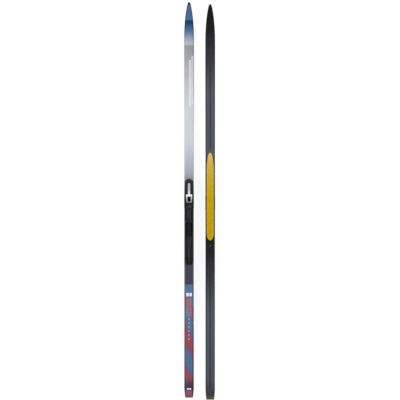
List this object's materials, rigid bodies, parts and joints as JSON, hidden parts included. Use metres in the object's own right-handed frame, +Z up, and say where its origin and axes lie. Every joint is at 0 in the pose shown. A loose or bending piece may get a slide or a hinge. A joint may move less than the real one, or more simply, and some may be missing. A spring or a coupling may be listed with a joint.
{
  "type": "pair of cross-country skis",
  "caption": "Pair of classic cross-country skis with a grip skin in the base and toe-bar bindings that slide on a rail, one lying base down and one turned over.",
  "frame": {"origin": "middle of the pair's footprint on the floor", "axes": "+Y along the skis towards the tips, +X across the pair to the turned-over ski, +Z up"},
  "size_m": [0.1574, 2.0201, 0.07],
  "materials": {
    "running_base": "sintered polyethylene with a stone-ground sheen",
    "grip_skin": "short mohair pile, yellow",
    "laminate": "black fibre laminate",
    "core_wood": "light wood core",
    "sidewall": "black sidewall plastic",
    "top_sheet": "printed satin top sheet, silver with blue and red fades",
    "spacer": "black filler",
    "protector": "black moulded end",
    "binding_plastic": "black glass-filled plastic",
    "binding_cover": "black satin plastic",
    "steel": "plain steel",
    "lever_silver": "pale silver paint",
    "jaw_steel": "satin steel",
    "flexor_rubber": "black rubber",
    "pad_rubber": "dark grey rubber"
  },
  "bodies": {
    "left_ski": {"left_ski_base_sheet": "running_base", "left_ski_skin_insert": "grip_skin", "left_ski_lower_laminate": "laminate", "left_ski_core": "core_wood", "left_ski_left_sidewall": "sidewall", "left_ski_right_sidewall": "sidewall", "left_ski_upper_laminate": "laminate", "left_ski_top_sheet": "top_sheet", "left_ski_tip_spacer": "spacer", "left_ski_tail_spacer": "spacer", "left_ski_tip_protector": "protector", "left_ski_tail_protector": "protector", "left_ski_mounting_plate": "binding_plastic"},
    "left_toe_unit": {"left_ski_toe_chassis": "binding_plastic", "left_ski_front_cover": "binding_cover", "left_ski_cover_screw": "steel", "left_ski_left_lever_pin": "steel", "left_ski_right_lever_pin": "steel", "left_ski_flexor": "flexor_rubber", "left_ski_toe_pad": "pad_rubber", "left_ski_toe_lock_pin": "steel"},
    "left_lever": {"left_ski_lever": "lever_silver", "left_ski_crank_rod": "steel"},
    "left_jaw": {"left_ski_jaw": "jaw_steel"},
    "left_toe_lock": {"left_ski_toe_lock": "binding_plastic"},
    "left_heel_unit": {"left_ski_heel_plate": "binding_plastic", "left_ski_heel_pad": "pad_rubber", "left_ski_heel_lock_pin": "steel"},
    "left_heel_lock": {"left_ski_heel_lock": "binding_plastic"},
    "right_ski": {"right_ski_base_sheet": "running_base", "right_ski_skin_insert": "grip_skin", "right_ski_lower_laminate": "laminate", "right_ski_core": "core_wood", "right_ski_left_sidewall": "sidewall", "right_ski_right_sidewall": "sidewall", "right_ski_upper_laminate": "laminate", "right_ski_top_sheet": "top_sheet", "right_ski_tip_spacer": "spacer", "right_ski_tail_spacer": "spacer", "right_ski_tip_protector": "protector", "right_ski_tail_protector": "protector", "right_ski_mounting_plate": "binding_plastic"},
    "right_toe_unit": {"right_ski_toe_chassis": "binding_plastic", "right_ski_front_cover": "binding_cover", "right_ski_cover_screw": "steel", "right_ski_left_lever_pin": "steel", "right_ski_right_lever_pin": "steel", "right_ski_flexor": "flexor_rubber", "right_ski_toe_pad": "pad_rubber", "right_ski_toe_lock_pin": "steel"},
    "right_lever": {"right_ski_lever": "lever_silver", "right_ski_crank_rod": "steel"},
    "right_jaw": {"right_ski_jaw": "jaw_steel"},
    "right_toe_lock": {"right_ski_toe_lock": "binding_plastic"},
    "right_heel_unit": {"right_ski_heel_plate": "binding_plastic", "right_ski_heel_pad": "pad_rubber", "right_ski_heel_lock_pin": "steel"},
    "right_heel_lock": {"right_ski_heel_lock": "binding_plastic"}
  },
  "joints": [
    {"name": "left_toe_shift", "type": "slide", "parent": "left_ski", "child": "left_toe_unit", "axis": [0, 1, 0], "range_m": [-0.01, 0.01]},
    {"name": "left_lever_lift", "type": "hinge", "parent": "left_toe_unit", "child": "left_lever", "pos_m": [-0.0537, 0.01072, 0.06], "axis": [1, 0, 0], "range_deg": [0, 80]},
    {"name": "left_jaw_slide", "type": "slide", "parent": "left_toe_unit", "child": "left_jaw", "axis": [0, -1, 0], "range_m": [0, 0.00772]},
    {"name": "left_toe_lock_lift", "type": "hinge", "parent": "left_toe_unit", "child": "left_toe_lock", "pos_m": [-0.0537, -0.10228, 0.0494], "axis": [-1, 0, 0], "range_deg": [0, 18], "stiffness_Nm_per_rad": 0.1, "springref_deg": -11.46},
    {"name": "left_heel_shift", "type": "slide", "parent": "left_ski", "child": "left_heel_unit", "axis": [0, 1, 0], "range_m": [-0.01, 0.01]},
    {"name": "left_heel_lock_lift", "type": "hinge", "parent": "left_heel_unit", "child": "left_heel_lock", "pos_m": [-0.0537, -0.29978, 0.0494], "axis": [-1, 0, 0], "range_deg": [0, 18], "stiffness_Nm_per_rad": 0.1, "springref_deg": -11.46},
    {"name": "right_ski_lift", "type": "slide", "parent": "left_ski", "child": "right_ski", "axis": [0, 0, 1], "range_m": [0, 0.3]},
    {"name": "right_toe_shift", "type": "slide", "parent": "right_ski", "child": "right_toe_unit", "axis": [0, 1, 0], "range_m": [-0.01, 0.01]},
    {"name": "right_lever_lift", "type": "hinge", "parent": "right_toe_unit", "child": "right_lever", "pos_m": [0.0537, 0.00002, 0.01], "axis": [-1, 0, 0], "range_deg": [0, 80]},
    {"name": "right_jaw_slide", "type": "slide", "parent": "right_toe_unit", "child": "right_jaw", "axis": [0, -1, 0], "range_m": [0, 0.00772]},
    {"name": "right_toe_lock_lift", "type": "hinge", "parent": "right_toe_unit", "child": "right_toe_lock", "pos_m": [0.0537, -0.11298, 0.0206], "axis": [1, 0, 0], "range_deg": [0, 18], "stiffness_Nm_per_rad": 0.1, "springref_deg": -11.46},
    {"name": "right_heel_shift", "type": "slide", "parent": "right_ski", "child": "right_heel_unit", "axis": [0, 1, 0], "range_m": [-0.01, 0.01]},
    {"name": "right_heel_lock_lift", "type": "hinge", "parent": "right_heel_unit", "child": "right_heel_lock", "pos_m": [0.0537, -0.31048, 0.0206], "axis": [1, 0, 0], "range_deg": [0, 18], "stiffness_Nm_per_rad": 0.1, "springref_deg": -11.46}
  ],
  "couplings": [
    {"joint": "left_jaw_slide", "follows": "left_lever_lift", "m_per_rad": 0.0055243},
    {"joint": "right_jaw_slide", "follows": "right_lever_lift", "m_per_rad": 0.0055243}
  ]
}
